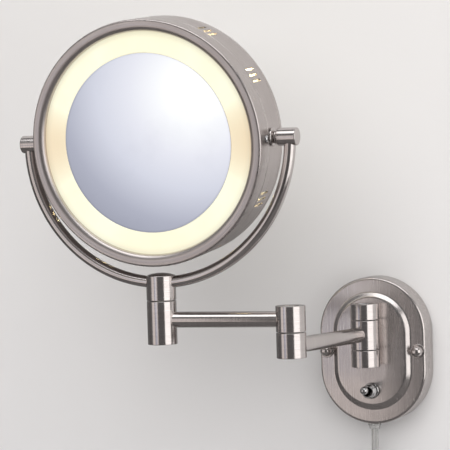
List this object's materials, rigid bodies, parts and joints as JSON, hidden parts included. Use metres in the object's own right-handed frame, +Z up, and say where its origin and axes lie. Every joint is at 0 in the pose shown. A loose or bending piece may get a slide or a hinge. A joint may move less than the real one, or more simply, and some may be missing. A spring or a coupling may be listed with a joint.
{
  "type": "extendable shaving mirror",
  "caption": "Round two-sided mirror with a lit rim, held in a half-ring yoke on a two-link swing arm from an obround wall plate with a toggle switch and a cord.",
  "frame": {"origin": "centre of the mounting bracket's flat back face, on the wall", "axes": "+Z up, +Y into the wall, +X to the right of someone who faces the wall; the mirror hangs on the -Y side"},
  "size_m": [0.3081, 0.1935, 0.5154],
  "materials": {
    "brushed_nickel": "satin, brushed, slightly warm",
    "polished_chrome": "polished",
    "zinc_steel": "zinc plated",
    "mirror_glass": "silvered glass, polished",
    "halo_diffuser": "frosted, lit from behind",
    "lamp_glass": "clear",
    "lamp_ceramic": "unglazed ceramic",
    "white_enamel": "white enamel",
    "nylon": "satin",
    "black_plastic": "fine matte",
    "clear_pvc": "clear, slightly smoky"
  },
  "bodies": {
    "wall": {"mounting_bracket": "zinc_steel", "wall_plate": "brushed_nickel", "cover_screw_left": "brushed_nickel", "cover_screw_right": "brushed_nickel", "upper_ear": "brushed_nickel", "lower_ear": "brushed_nickel", "upper_ear_nut": "zinc_steel", "lower_ear_nut": "zinc_steel", "wall_pin": "zinc_steel", "wall_pin_nut": "zinc_steel", "switch_body": "black_plastic", "switch_bushing": "polished_chrome", "switch_nut": "polished_chrome", "cord_grommet": "clear_pvc", "power_cord": "clear_pvc", "cord_coil": "clear_pvc", "cord_tie": "black_plastic", "plug": "clear_pvc"},
    "inner_arm": {"wall_hub": "brushed_nickel", "inner_arm_tube": "brushed_nickel", "elbow_lower_hub": "brushed_nickel", "elbow_washer": "nylon", "elbow_pin": "zinc_steel", "elbow_pin_nut": "zinc_steel"},
    "outer_arm": {"elbow_upper_hub": "brushed_nickel", "outer_arm_tube": "brushed_nickel", "head_hub": "brushed_nickel", "head_swivel_washer": "nylon"},
    "yoke": {"yoke_tube": "brushed_nickel", "yoke_hub": "brushed_nickel", "yoke_end_left": "brushed_nickel", "yoke_end_right": "brushed_nickel", "head_swivel_pin": "zinc_steel", "head_swivel_nut": "zinc_steel"},
    "head": {"drum_shell": "brushed_nickel", "front_bezel": "brushed_nickel", "rear_bezel": "brushed_nickel", "front_mirror_glass": "mirror_glass", "rear_mirror_glass": "mirror_glass", "front_halo_diffuser": "halo_diffuser", "rear_halo_diffuser": "halo_diffuser", "mirror_carrier": "white_enamel", "lamp_1": "lamp_glass", "lamp_2": "lamp_glass", "lamp_3": "lamp_glass", "lamp_4": "lamp_glass", "lamp_holder_1": "lamp_ceramic", "lamp_holder_2": "lamp_ceramic", "lamp_holder_3": "lamp_ceramic", "lamp_holder_4": "lamp_ceramic", "pivot_stud_left": "brushed_nickel", "pivot_washer_left": "brushed_nickel", "pivot_nut_left": "zinc_steel", "bezel_screw_left": "polished_chrome", "pivot_stud_right": "brushed_nickel", "pivot_washer_right": "brushed_nickel", "pivot_nut_right": "zinc_steel", "bezel_screw_right": "polished_chrome"},
    "toggle": {"toggle_lever": "polished_chrome"}
  },
  "joints": [
    {"name": "wall_swivel", "type": "hinge", "parent": "wall", "child": "inner_arm", "pos_m": [0, -0.0408, 0.0157], "axis": [0, 0, 1], "range_deg": [-73.5, 102.5]},
    {"name": "elbow_swivel", "type": "hinge", "parent": "inner_arm", "child": "outer_arm", "pos_m": [-0.02754, -0.1473, 0.0275], "axis": [0, 0, -1], "range_deg": [-225, 84.9]},
    {"name": "head_swivel", "type": "hinge", "parent": "outer_arm", "child": "yoke", "pos_m": [-0.13705, -0.15765, 0.054], "axis": [0, 0, 1], "range_deg": [-170, 170]},
    {"name": "head_tilt", "type": "hinge", "parent": "yoke", "child": "head", "pos_m": [-0.13705, -0.15765, 0.186], "axis": [1, 0, 0], "range_deg": [-180, 180]},
    {"name": "switch_toggle", "type": "hinge", "parent": "wall", "child": "toggle", "pos_m": [0, -0.0315, -0.034], "axis": [1, 0, 0], "range_deg": [0, 16]}
  ]
}
